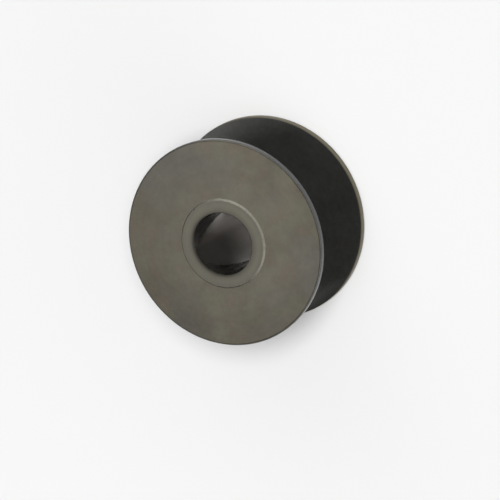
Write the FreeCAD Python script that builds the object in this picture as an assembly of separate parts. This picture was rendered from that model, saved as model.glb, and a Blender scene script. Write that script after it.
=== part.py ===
# Sewing machine bobbin, turned from one bar of steel.
#
# A spool with a thin flat flange at each end of a narrow hub.  A plain bore
# runs right through, and at each end a low raised boss with a sloping side
# surrounds the mouth of the bore.  The whole body is one solid of revolution
# about +Z, with the same profile at both ends.
#
# Frame: millimetres, +Z along the bore.  The origin is on the bore's axis at
# the face of the lower boss, which is what the bobbin stands on.

import FreeCAD, Part
import math
import os

# ---------------------------------------------------------------- dimensions
FLANGE_D = 20.5        # outside diameter of both flanges
OVERALL_H = 11.28      # over both bosses
BOSS_H = 0.20          # how far a boss stands out of its flange
BOSS_TOP_D = 8.60      # diameter of a boss's flat end
BOSS_FOOT_D = 8.91     # diameter of a boss where its sloping side meets the flange
FLANGE_T = 0.77        # thickness of a flange
HUB_D = 9.0            # the core that the thread is wound on
BORE_D = 6.16          # through bore

RIM_OUT_R = 0.20       # rounding of a rim's edge towards the end face
RIM_IN_R = 0.16        # rounding of a rim's edge towards the thread
ROOT_R = 0.30          # fillet where hub and flange meet
BOSS_EDGE_R = 0.03     # rounding of a boss's outer edge
BOSS_ROOT_R = 0.03     # fillet at the foot of a boss
BORE_EDGE_R = 0.08     # rounding of the bore's mouths

# ------------------------------------------------------------------- derived
R = FLANGE_D / 2.0
RBT = BOSS_TOP_D / 2.0
RBF = BOSS_FOOT_D / 2.0
RH = HUB_D / 2.0
RI = BORE_D / 2.0
H = OVERALL_H
Z_FACE = BOSS_H                    # outer face of the lower flange
Z_IN = BOSS_H + FLANGE_T           # inner face of the lower flange


def rounded_profile(corners):
    """A closed wire in the XZ plane through corners (r, z, radius), with each
    corner of radius > 0 replaced by a tangent arc."""
    n = len(corners)
    starts, ends, mids = [], [], []
    for i, (x, z, rad) in enumerate(corners):
        p = FreeCAD.Vector(x, 0, z)
        if rad <= 0:
            starts.append(p)
            ends.append(p)
            mids.append(None)
            continue
        ax, az, _ = corners[i - 1]
        bx, bz, _ = corners[(i + 1) % n]
        u = (FreeCAD.Vector(ax, 0, az) - p).normalize()
        v = (FreeCAD.Vector(bx, 0, bz) - p).normalize()
        half = math.acos(max(-1.0, min(1.0, u.dot(v)))) / 2.0
        back = rad / math.tan(half)
        bis = (u + v).normalize()
        centre = p + bis * (rad / math.sin(half))
        starts.append(p + u * back)
        ends.append(p + v * back)
        mids.append(centre - bis * rad)
    edges = []
    for i in range(n):
        if mids[i] is not None:
            edges.append(Part.Arc(starts[i], mids[i], ends[i]).toShape())
        nxt = (i + 1) % n
        if (starts[nxt] - ends[i]).Length > 1e-7:
            edges.append(Part.LineSegment(ends[i], starts[nxt]).toShape())
    return Part.Wire(edges)


# Lower half of the section, from the bore's mouth out to the hub; the upper
# half is its mirror image about the middle of the bobbin.
lower = [
    (RI, 0.0, BORE_EDGE_R),
    (RBT, 0.0, BOSS_EDGE_R),
    (RBF, Z_FACE, BOSS_ROOT_R),
    (R, Z_FACE, RIM_OUT_R),
    (R, Z_IN, RIM_IN_R),
    (RH, Z_IN, ROOT_R),
]
upper = [(x, H - z, rad) for x, z, rad in reversed(lower)]

section = Part.Face(rounded_profile(lower + upper))
bobbin = section.revolve(
    FreeCAD.Vector(0, 0, 0), FreeCAD.Vector(0, 0, 1), 360.0
)
if bobbin.ShapeType != "Solid":
    bobbin = bobbin.Solids[0]
if bobbin.Volume < 0:
    bobbin.reverse()

assert bobbin.isValid(), "the bobbin's solid is not valid"
box = bobbin.optimalBoundingBox()
print("bobbin: %.3f x %.3f x %.3f mm, volume %.2f mm3, faces %d" % (
    box.XLength, box.YLength, box.ZLength, bobbin.Volume, len(bobbin.Faces)))

os.makedirs("parts", exist_ok=True)
bobbin.exportStep("parts/bobbin.step")
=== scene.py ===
# Sewing machine bobbin, turned from one bar of steel and blackened, standing
# on its end on a pale studio floor.

import math

import bpy
from mathutils import Matrix, Vector


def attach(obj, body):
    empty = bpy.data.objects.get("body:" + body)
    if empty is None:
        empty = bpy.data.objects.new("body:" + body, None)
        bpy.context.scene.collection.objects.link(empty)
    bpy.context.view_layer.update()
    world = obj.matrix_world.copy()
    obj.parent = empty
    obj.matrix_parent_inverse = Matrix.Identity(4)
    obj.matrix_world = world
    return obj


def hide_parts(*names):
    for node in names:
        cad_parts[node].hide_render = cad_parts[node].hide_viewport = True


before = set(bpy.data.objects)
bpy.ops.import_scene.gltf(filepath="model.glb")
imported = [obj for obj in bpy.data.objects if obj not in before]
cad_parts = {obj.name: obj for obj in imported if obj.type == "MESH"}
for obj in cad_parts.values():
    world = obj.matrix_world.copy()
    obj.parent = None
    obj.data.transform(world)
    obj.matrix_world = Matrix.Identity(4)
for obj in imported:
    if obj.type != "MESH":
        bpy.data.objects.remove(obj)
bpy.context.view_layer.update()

scene = bpy.context.scene
MM = 0.001

# ---------------------------------------------------------------- dimensions
# The section of the bobbin in millimetres, the same as that of the solid.
FLANGE_D = 20.5
OVERALL_H = 11.28
BOSS_H = 0.20
BOSS_TOP_D = 8.60
BOSS_FOOT_D = 8.91
FLANGE_T = 0.77
HUB_D = 9.0
BORE_D = 6.16
RIM_OUT_R = 0.20
RIM_IN_R = 0.16
ROOT_R = 0.30
BOSS_EDGE_R = 0.03
BOSS_ROOT_R = 0.03
BORE_EDGE_R = 0.08

R = FLANGE_D / 2.0
RBT = BOSS_TOP_D / 2.0
RBF = BOSS_FOOT_D / 2.0
RH = HUB_D / 2.0
RI = BORE_D / 2.0
H = OVERALL_H
Z_FACE = BOSS_H
Z_IN = BOSS_H + FLANGE_T


# ------------------------------------------------------------------- section
def unit(x, z):
    n = math.hypot(x, z)
    return x / n, z / n


def section(corners, arc_steps, spacing):
    """Points (r, z, normal r, normal z) round a closed section. Corners are
    (r, z, radius), and each corner with a radius becomes a tangent arc.
    Straight runs get points closer together towards their ends, so that the
    arcs run into them cleanly."""
    n = len(corners)
    arcs = []
    for i, (x, z, rad) in enumerate(corners):
        ax, az, _ = corners[i - 1]
        bx, bz, _ = corners[(i + 1) % n]
        ux, uz = unit(ax - x, az - z)
        vx, vz = unit(bx - x, bz - z)
        half = math.acos(max(-1.0, min(1.0, ux * vx + uz * vz))) / 2.0
        back = rad / math.tan(half)
        kx, kz = unit(ux + vx, uz + vz)
        cx, cz = x + kx * rad / math.sin(half), z + kz * rad / math.sin(half)
        start = (x + ux * back, z + uz * back)
        end = (x + vx * back, z + vz * back)
        # Outward is to the right of the way round.
        n0 = (-uz, ux)
        n1 = (vz, -vx)
        a0 = math.atan2(start[1] - cz, start[0] - cx)
        a1 = math.atan2(end[1] - cz, end[0] - cx)
        turn = (a1 - a0 + math.pi) % (2.0 * math.pi) - math.pi
        pts = []
        for k in range(arc_steps + 1):
            a = a0 + turn * k / arc_steps
            t = k / arc_steps
            nx, nz = math.cos(a), math.sin(a)
            if nx * n0[0] + nz * n0[1] < 0 or (k and nx * n1[0] + nz * n1[1] < 0):
                nx, nz = -nx, -nz
            pts.append((cx + rad * math.cos(a), cz + rad * math.sin(a), nx, nz))
        arcs.append(pts)
    out = []
    for i in range(n):
        out.extend(arcs[i])
        x0, z0, _, _ = arcs[i][-1]
        x1, z1, _, _ = arcs[(i + 1) % n][0]
        length = math.hypot(x1 - x0, z1 - z0)
        dx, dz = unit(x1 - x0, z1 - z0)
        steps = max(2, int(round(length / spacing)))
        for k in range(1, steps):
            t = k / steps
            t = t - 0.55 * math.sin(2.0 * math.pi * t) / (2.0 * math.pi)
            out.append((x0 + (x1 - x0) * t, z0 + (z1 - z0) * t, dz, -dx))
    return out


lower = [
    (RI, 0.0, BORE_EDGE_R),
    (RBT, 0.0, BOSS_EDGE_R),
    (RBF, Z_FACE, BOSS_ROOT_R),
    (R, Z_FACE, RIM_OUT_R),
    (R, Z_IN, RIM_IN_R),
    (RH, Z_IN, ROOT_R),
]
upper = [(x, H - z, rad) for x, z, rad in reversed(lower)]
profile = section(lower + upper, 6, 0.42)

# The way round starts in the middle of the bore, where no edge is.
middle = max(
    (i for i, p in enumerate(profile) if p[2] < -0.999),
    key=lambda i: -abs(profile[i][1] - H / 2.0),
)
profile = profile[middle:] + profile[:middle]


# ---------------------------------------------------------------------- mesh
def lathe(name, profile, segments, seam_angle):
    """A closed quad mesh of revolution about +Z, with exact normals and a map
    that unrolls it: u is the angle and v the way along the section."""
    rows = len(profile)
    verts, normals = [], []
    for x, z, nx, nz in profile:
        for j in range(segments):
            a = seam_angle + 2.0 * math.pi * j / segments
            c, s = math.cos(a), math.sin(a)
            verts.append((x * c * MM, x * s * MM, z * MM))
            normals.append((nx * c, nx * s, nz))
    faces = []
    for i in range(rows):
        i2 = (i + 1) % rows
        for j in range(segments):
            j2 = (j + 1) % segments
            faces.append(
                (
                    i * segments + j,
                    i * segments + j2,
                    i2 * segments + j2,
                    i2 * segments + j,
                )
            )
    mesh = bpy.data.meshes.new(name)
    mesh.from_pydata(verts, [], faces)
    mesh.polygons.foreach_set("use_smooth", [True] * len(faces))

    along = [0.0]
    for i in range(rows):
        x0, z0 = profile[i][:2]
        x1, z1 = profile[(i + 1) % rows][:2]
        along.append(along[-1] + math.hypot(x1 - x0, z1 - z0))
    edge = 0.002
    uv = mesh.uv_layers.new(name="OFBake")
    flat = []
    for i in range(rows):
        v0 = edge + (1 - 2 * edge) * along[i] / along[-1]
        v1 = edge + (1 - 2 * edge) * along[i + 1] / along[-1]
        for j in range(segments):
            u0 = edge + (1 - 2 * edge) * j / segments
            u1 = edge + (1 - 2 * edge) * (j + 1) / segments
            flat.extend((u0, v0, u1, v0, u1, v1, u0, v1))
    uv.data.foreach_set("uv", flat)
    mesh.update()
    mesh.validate()
    mesh.normals_split_custom_set_from_vertices(normals)
    return mesh


bobbin = bpy.data.objects.new(
    "bobbin_turned", lathe("bobbin_turned", profile, 288, math.radians(58.0))
)
scene.collection.objects.link(bobbin)


# ------------------------------------------------------------------ material
class Tree:
    """Short ways to add and join shader nodes."""

    def __init__(self, tree):
        self.tree = tree
        self.tree.nodes.clear()

    def add(self, kind, **values):
        node = self.tree.nodes.new(kind)
        for key, value in values.items():
            setattr(node, key, value)
        return node

    def put(self, socket, value):
        if isinstance(value, bpy.types.NodeSocket):
            self.tree.links.new(value, socket)
        else:
            socket.default_value = value

    def math(self, op, a, b=0.0, c=0.0, clamp=False):
        node = self.add("ShaderNodeMath", operation=op, use_clamp=clamp)
        for socket, value in zip(node.inputs, (a, b, c)):
            self.put(socket, value)
        return node.outputs[0]

    def ramp(self, value, low, high, out_low=0.0, out_high=1.0, smooth=True):
        node = self.add(
            "ShaderNodeMapRange",
            interpolation_type="SMOOTHSTEP" if smooth else "LINEAR",
            clamp=True,
        )
        for socket, v in zip(node.inputs, (value, low, high, out_low, out_high)):
            self.put(socket, v)
        return node.outputs[0]

    def noise(self, vector, scale, detail=2.0, rough=0.5):
        node = self.add("ShaderNodeTexNoise", noise_dimensions="3D")
        self.put(node.inputs["Vector"], vector)
        node.inputs["Scale"].default_value = scale
        node.inputs["Detail"].default_value = detail
        node.inputs["Roughness"].default_value = rough
        return node.outputs["Fac"]

    def join(self, x, y, z):
        node = self.add("ShaderNodeCombineXYZ")
        for socket, value in zip(node.inputs, (x, y, z)):
            self.put(socket, value)
        return node.outputs[0]

    def mix(self, factor, a, b):
        node = self.add("ShaderNodeMix", data_type="RGBA")
        self.put(node.inputs["Factor"], factor)
        self.put(node.inputs[6], a)
        self.put(node.inputs[7], b)
        return node.outputs[2]


# Shades of the blackened skin, and of the metal where it is rubbed.
OXIDE_OLIVE = (0.151, 0.143, 0.110, 1.0)
OXIDE_BROWN = (0.151, 0.132, 0.104, 1.0)
OXIDE_GREY = (0.140, 0.132, 0.112, 1.0)
OXIDE_BOSS = (0.140, 0.135, 0.111, 1.0)
OXIDE_THREAD = (0.138, 0.137, 0.130, 1.0)
OXIDE_BORE = (0.266, 0.243, 0.220, 1.0)
# Painted light: the upper rim gets a darker shaded copy and the lower rim a lighter, warmer
# lit copy of the same skin.
OXIDE_RIM_HIGH_SHADED = (0.084, 0.084, 0.084, 1.0)
OXIDE_RIM_LOW_LIT = (0.146, 0.130, 0.086, 1.0)
BARE = (0.252, 0.242, 0.206, 1.0)


def dark_steel():
    """Blackened steel: a fine turned lay round the axis, a tumbled grain over it, a faint
    blotchy oxide, boss edges that are rubbed lighter, and painted light and shade on the
    rims, the ends, between the flanges and in the bore."""
    material = bpy.data.materials.new("dark_steel")
    material.use_nodes = True
    t = Tree(material.node_tree)
    out = t.add("ShaderNodeOutputMaterial")
    shader = t.add("ShaderNodeBsdfPrincipled")
    t.put(out.inputs["Surface"], shader.outputs[0])

    # Place on the bobbin in millimetres: p, radius, height above the middle.
    coord = t.add("ShaderNodeTexCoord")
    scale = t.add("ShaderNodeVectorMath", operation="SCALE")
    t.put(scale.inputs[0], coord.outputs["Object"])
    scale.inputs["Scale"].default_value = 1000.0
    p = scale.outputs[0]
    split = t.add("ShaderNodeSeparateXYZ")
    t.put(split.inputs[0], p)
    x, y, z = split.outputs
    radius = t.math("SQRT", t.math("ADD", t.math("MULTIPLY", x, x), t.math("MULTIPLY", y, y)))
    height = t.math("ABSOLUTE", t.math("SUBTRACT", z, H / 2.0))
    cos_a = t.math("DIVIDE", x, radius)
    sin_a = t.math("DIVIDE", y, radius)

    # Where things are.
    end = t.ramp(height, H / 2.0 - BOSS_H - 0.04, H / 2.0 - BOSS_H + 0.01)
    bore = t.ramp(radius, RI + 0.002, RI + 0.02, 1.0, 0.0)
    rim = t.ramp(radius, R - 0.11, R - 0.02)
    thread = t.math(
        "MULTIPLY",
        t.ramp(height, H / 2.0 - Z_IN + 0.02, H / 2.0 - Z_IN + 0.15, 1.0, 0.0),
        t.ramp(radius, RI + 0.5, RI + 0.7),
    )
    slope = t.math(
        "MULTIPLY",
        end,
        t.math(
            "MULTIPLY",
            t.ramp(radius, RBT - 0.05, RBT + 0.01),
            t.ramp(radius, RBF - 0.02, RBF + 0.04, 1.0, 0.0),
        ),
    )
    boss = t.math(
        "MULTIPLY",
        t.ramp(height, H / 2.0 - 0.5 * BOSS_H, H / 2.0 - 0.1 * BOSS_H),
        t.ramp(radius, RBT - 0.02, RBT + 0.04, 1.0, 0.0),
    )

    # The lay of the turning: streaks that run round the axis.
    step = t.math("MULTIPLY_ADD", z, 0.83, radius)
    lay_at = t.join(
        step, t.math("MULTIPLY", cos_a, 0.22), t.math("MULTIPLY", sin_a, 0.22)
    )
    lay = t.noise(lay_at, 14.0, 3.0, 0.62)
    lay_wide = t.noise(lay_at, 2.6, 2.0, 0.5)
    grain = t.noise(p, 7.5, 3.0, 0.6)
    speck = t.noise(p, 2.2, 4.0, 0.68)
    cloud = t.noise(p, 0.30, 3.0, 0.55)
    tone = t.noise(t.join(y, z, x), 0.19, 2.0, 0.5)
    mottle = t.noise(t.join(z, x, y), 0.75, 3.0, 0.6)
    hue = t.noise(t.join(y, x, z), 0.52, 3.0, 0.6)

    # Colour: olive, brown and grey shades of oxide that run into each other, a plainer grey
    # where the thread lies, lighter rubbed edges on the bosses, and painted light on the
    # rims: the upper rim darker, the lower rim lighter and warmer.
    shade = t.mix(
        t.ramp(hue, 0.39, 0.61), OXIDE_OLIVE, OXIDE_BROWN
    )
    outward = t.ramp(radius, 3.0, R, 0.05, 1.50, smooth=False)
    # Across each end the skin is greyer and lighter along ±X and darker along ±Y: the grey is
    # tone, the lightening painted light.
    sides = t.math("SUBTRACT", t.math("MULTIPLY", x, x), t.math("MULTIPLY", y, y))
    sides = t.math("MULTIPLY", t.math("MULTIPLY", sides, 1.0 / R**2), end)
    greyed = t.math("MULTIPLY", t.ramp(tone, 0.40, 0.66), outward)
    greyed = t.math("MULTIPLY_ADD", sides, 0.55, greyed, clamp=True)
    shade = t.mix(greyed, shade, OXIDE_GREY)
    shade = t.mix(t.math("MULTIPLY", boss, 0.7), shade, OXIDE_BOSS)
    shade = t.mix(thread, shade, OXIDE_THREAD)
    shade = t.mix(bore, shade, OXIDE_BORE)
    shade = t.mix(
        rim, shade, t.mix(t.ramp(z, 3.0, 8.0), OXIDE_RIM_LOW_LIT, OXIDE_RIM_HIGH_SHADED)
    )
    bright = 1.0
    for field, amount in (
        (lay, 0.16),
        (lay_wide, 0.10),
        (speck, 0.46),
        (mottle, 0.24),
        (cloud, 0.43),
    ):
        bright = t.math(
            "ADD", bright, t.math("MULTIPLY", t.math("SUBTRACT", field, 0.5), amount)
        )
    # The top of a boss is more even.
    calm = t.math("MULTIPLY_ADD", boss, -0.7, 1.0)
    bright = t.math("MULTIPLY_ADD", t.math("SUBTRACT", bright, 1.0), calm, 1.0)
    # Painted light: an end is painted lighter towards its middle and darker towards its rim,
    # and lighter along ±X than along ±Y, as the light lies across it.
    fall = t.math("MULTIPLY_ADD", t.math("MULTIPLY", radius, radius), -0.19 / R**2, 0.095)
    bright = t.math("MULTIPLY_ADD", end, fall, bright)
    bright = t.math("MULTIPLY_ADD", sides, 0.045, bright)
    bright = t.math("MULTIPLY_ADD", boss, 0.03, bright)
    # Painted shade: the skin is darkened a little round the step of a boss, where shade lies.
    painted_step_shade = t.math(
        "MULTIPLY",
        t.ramp(radius, RBT - 0.45, RBT - 0.10),
        t.ramp(radius, RBF + 0.15, RBF + 1.10, 1.0, 0.0),
    )
    bright = t.math("MULTIPLY_ADD", t.math("MULTIPLY", painted_step_shade, end), -0.065, bright)
    # Painted shade: between the flanges the skin is painted darker along the −X edge, where
    # shade lies.
    painted_gap_shade = t.math("MULTIPLY", thread, t.ramp(x, 0.05 - R, 1.25 - R, 0.55, 0.0))
    bright = t.math("MULTIPLY", bright, t.math("SUBTRACT", 1.0, painted_gap_shade))
    # Painted shade: the ends are painted darkest round the mouths of the bore, more so on one
    # side, where shade lies in the hole.
    mouth_shade_by_side = t.ramp(sin_a, -0.6, 0.5, 0.90, 0.50)
    mouth = t.ramp(radius, RI + 0.03, RI + 0.36, mouth_shade_by_side, 1.0)
    mouth = t.math("MULTIPLY", mouth, t.ramp(radius, RI + 0.06, RI + 0.75, 0.76, 1.0))
    bright = t.math("MULTIPLY", bright, mouth)
    # Inside it the skin is more even, with painted light along one side: a lighter streak
    # that stands in for light reflected down the bore.
    side = t.math(
        "ADD",
        t.math("MULTIPLY", cos_a, math.cos(math.radians(50.0))),
        t.math("MULTIPLY", sin_a, math.sin(math.radians(50.0))),
    )
    painted_bore_light = t.math(
        "MULTIPLY_ADD", t.ramp(side, 0.88, 0.98), 0.56, t.ramp(side, -0.25, 0.35, 0.78, 1.0)
    )
    even = t.math("MULTIPLY_ADD", t.math("SUBTRACT", cloud, 0.5), 0.15, painted_bore_light)
    # Painted shade: dark wedges on the wall near the mouths, where shade lies inside the
    # bore.
    by_mouth = t.ramp(height, H / 2.0 - 5.2, H / 2.0 - 3.2)
    scale_and_shade_at = t.math("MULTIPLY_ADD", cos_a, -0.2, sin_a)
    dark = t.math(
        "MULTIPLY",
        by_mouth,
        t.math(
            "MAXIMUM",
            t.ramp(sin_a, 0.50, 0.78, 0.55, 0.0),
            t.ramp(scale_and_shade_at, 0.38, 0.74, 0.85, 0.0),
        ),
    )
    even = t.math("MULTIPLY", even, t.math("SUBTRACT", 1.0, dark))
    # Painted shade: the wall is a little darker within a millimetre of each mouth.
    even = t.math(
        "MULTIPLY", even, t.ramp(height, H / 2.0 - 0.9, H / 2.0 - 0.1, 1.0, 0.90)
    )
    # Painted light: along that side the wall is painted lighter towards the upper end and
    # darker towards the lower end.
    lift = t.math("SUBTRACT", t.ramp(z, 2.5, 8.0, 0.80, 1.30), 1.0)
    lift = t.math("MULTIPLY_ADD", lift, t.ramp(sin_a, 0.72, 0.90), 1.0)
    even = t.math("MULTIPLY", even, lift)
    bright = t.math(
        "ADD",
        t.math("MULTIPLY", bright, t.math("SUBTRACT", 1.0, bore)),
        t.math("MULTIPLY", even, bore),
    )
    gain = t.add("ShaderNodeVectorMath", operation="SCALE")
    t.put(gain.inputs[0], shade)
    t.put(gain.inputs["Scale"], bright)
    patchy = t.ramp(speck, 0.30, 0.62, 0.55, 1.0)
    worn = t.math("MULTIPLY", slope, patchy)
    colour = t.mix(worn, gain.outputs[0], BARE)
    t.put(shader.inputs["Base Color"], colour)

    # A duller oxide, less like bare metal, where nothing rubs it, a scuffed
    # skin that scatters light on the rubbed edge of a boss, and a matt scale
    # left on one side of the bore near its mouths.
    dull = t.math("MULTIPLY", t.math("MAXIMUM", thread, bore), 0.12)
    dull = t.math("MULTIPLY_ADD", worn, 0.40, dull)
    matt = t.math("MULTIPLY", by_mouth, t.ramp(scale_and_shade_at, 0.26, 0.56, 0.36, 0.0))
    dull = t.math("MULTIPLY_ADD", matt, bore, dull)
    t.put(shader.inputs["Metallic"], t.math("SUBTRACT", 1.0, dull, clamp=True))

    # Gloss: satin faces, a smoother bore, rubbed edges.
    rough = t.math(
        "ADD",
        0.42,
        t.math(
            "ADD",
            t.math("MULTIPLY", t.math("SUBTRACT", lay, 0.5), 0.10),
            t.math("MULTIPLY", t.math("SUBTRACT", speck, 0.5), 0.10),
        ),
    )
    rough = t.math("SUBTRACT", rough, t.math("MULTIPLY", worn, 0.07))
    rough = t.math("SUBTRACT", rough, t.math("MULTIPLY", bore, 0.33))
    rough = t.math(
        "SUBTRACT", rough, t.math("MULTIPLY", rim, t.ramp(z, 3.0, 8.0, 0.02, 0.21))
    )
    rough = t.math("ADD", rough, t.math("MULTIPLY", thread, 0.04))
    t.put(shader.inputs["Roughness"], rough)
    shader.inputs["Specular IOR Level"].default_value = 0.0

    # Relief of the marks: a few thousandths of a millimetre.
    relief = t.math(
        "ADD", t.math("MULTIPLY", lay, 0.6), t.math("MULTIPLY", grain, 0.4)
    )
    bump = t.add("ShaderNodeBump")
    bump.inputs["Strength"].default_value = 0.5
    bump.inputs["Distance"].default_value = 0.004 * MM
    t.put(bump.inputs["Height"], relief)
    t.put(shader.inputs["Normal"], bump.outputs[0])
    return material


steel = dark_steel()
bobbin.data.materials.append(steel)
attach(bobbin, "root")
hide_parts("bobbin")


# --------------------------------------------------------------------- stage
def plain(name, colour, rough):
    material = bpy.data.materials.new(name)
    material.use_nodes = True
    t = Tree(material.node_tree)
    out = t.add("ShaderNodeOutputMaterial")
    shader = t.add("ShaderNodeBsdfPrincipled")
    shader.inputs["Base Color"].default_value = (*colour, 1.0)
    shader.inputs["Roughness"].default_value = rough
    shader.inputs["Specular IOR Level"].default_value = 0.2
    t.put(out.inputs["Surface"], shader.outputs[0])
    return material


floor_mesh = bpy.data.meshes.new("floor")
S = 3.0
floor_mesh.from_pydata(
    [(-S, -S, 0.0), (S, -S, 0.0), (S, S, 0.0), (-S, S, 0.0)], [], [(0, 1, 2, 3)]
)
floor = bpy.data.objects.new("floor", floor_mesh)
floor.data.materials.append(plain("floor", (0.75, 0.75, 0.75), 0.9))
scene.collection.objects.link(floor)

# A soft studio round the bobbin: dim overhead, lighter towards the horizon,
# with a low soft light on either side.
world = bpy.data.worlds.new("studio")
scene.world = world
world.use_nodes = True
w = Tree(world.node_tree)
w_out = w.add("ShaderNodeOutputWorld")
w_bg = w.add("ShaderNodeBackground")
w_bg.inputs["Color"].default_value = (1.0, 1.0, 1.0, 1.0)
w_way = w.add("ShaderNodeTexCoord").outputs["Generated"]
w_split = w.add("ShaderNodeSeparateXYZ")
w.put(w_split.inputs[0], w_way)


def soft_light(toward, inner, outer, radiance):
    """A round soft light at infinity: full within the inner angle and fading
    to nothing at the outer one."""
    dot = w.add("ShaderNodeVectorMath", operation="DOT_PRODUCT")
    w.put(dot.inputs[0], w_way)
    dot.inputs[1].default_value = Vector(toward).normalized()
    return w.ramp(
        dot.outputs["Value"],
        math.cos(math.radians(outer)),
        math.cos(math.radians(inner)),
        0.0,
        radiance,
    )


low = w.ramp(w_split.outputs[2], 0.34, 0.60, 1.0, 0.0)
near = w.ramp(w_split.outputs[1], 0.40, -0.10, 0.15, 1.30)
rim_low = w.ramp(w_split.outputs[2], 0.20, 0.34, 1.0, 0.0)
rim_near = w.ramp(w_split.outputs[1], 0.75, 0.45, 0.30, 1.30)
dim = w.ramp(w_split.outputs[1], 0.30, 0.05, 0.08, 0.26)
band = w.math("MAXIMUM", w.math("MULTIPLY", low, near), w.math("MULTIPLY", rim_low, rim_near))
strength = w.math("ADD", band, dim)
for light in (
    ((0.920, -0.335, 0.210), 14.0, 42.0, 0.60),
    ((-0.975, -0.180, 0.120), 8.0, 30.0, 0.55),
):
    strength = w.math("ADD", strength, soft_light(*light))
w.put(w_bg.inputs["Strength"], strength)
w.put(w_out.inputs["Surface"], w_bg.outputs[0])


def only(name, thing):
    """A collection for a light that shines on one thing alone."""
    group = bpy.data.collections.new(name)
    group.objects.link(thing)
    return group


def panel(name, toward, distance, size, radiance, group):
    """A square soft light in the given direction from the bobbin, facing it."""
    way = Vector(toward).normalized()
    data = bpy.data.lights.new(name, "AREA")
    data.shape = "SQUARE"
    data.size = size
    data.energy = radiance * math.pi * size * size
    light = bpy.data.objects.new(name, data)
    light.location = Vector((0, 0, 0.010)) + way * distance
    light.rotation_mode = "QUATERNION"
    light.rotation_quaternion = (-way).to_track_quat("-Z", "Y")
    light.visible_camera = False
    light.light_linking.receiver_collection = group
    scene.collection.objects.link(light)


# A broad panel above the bobbin, near enough to fall off across it.
panel("light_top", (0.09, 0.30, 0.95), 0.22, 0.13, 2.14, only("bobbin_only", bobbin))

# Wide soft lights for the floor.
floor_only = only("floor_only", floor)
for name, way, energy, angle in (
    ("light_floor", (-0.070, 0.440, -0.895), 2.68, 23.0),
    ("light_floor_over", (0.0, 0.02, -1.0), 0.20, 14.0),
):
    sun_data = bpy.data.lights.new(name, "SUN")
    sun_data.energy = energy
    sun_data.angle = math.radians(angle)
    sun = bpy.data.objects.new(name, sun_data)
    sun.rotation_mode = "QUATERNION"
    sun.rotation_quaternion = Vector(way).to_track_quat("-Z", "Y")
    sun.light_linking.receiver_collection = floor_only
    scene.collection.objects.link(sun)

# -------------------------------------------------------------------- camera
# Seen from 30 degrees off the bore's axis with a long lens. The camera is
# turned about its line of sight, so the bobbin lies across the picture.
FOCAL_PX = 3040.886
CENTRE = Vector((-0.25032289, -0.06060470, 28.55771485))
AXIS = Vector((0.41384746, -0.25603403, 0.87359994)).normalized()

z_w = -AXIS
sight = (-CENTRE).normalized()
y_w = -(sight - sight.dot(z_w) * z_w).normalized()
x_w = y_w.cross(z_w)
to_row = Matrix((x_w, y_w, z_w))
right = to_row @ Vector((1, 0, 0))
up = to_row @ Vector((0, -1, 0))
back = to_row @ Vector((0, 0, -1))
place = Vector((0, 0, (H - BOSS_H) * MM)) - (to_row @ CENTRE) * (R * MM)

cam_data = bpy.data.cameras.new("camera")
cam_data.sensor_width = 36.0
cam_data.lens = FOCAL_PX * 36.0 / 500.0
cam_data.clip_start = 0.01
cam_data.clip_end = 20.0
cam = bpy.data.objects.new("camera", cam_data)
m = Matrix((right, up, back)).transposed().to_4x4()
m.translation = place
cam.matrix_world = m
scene.collection.objects.link(cam)
scene.camera = cam

scene.view_settings.view_transform = "Standard"
scene.view_settings.look = "None"
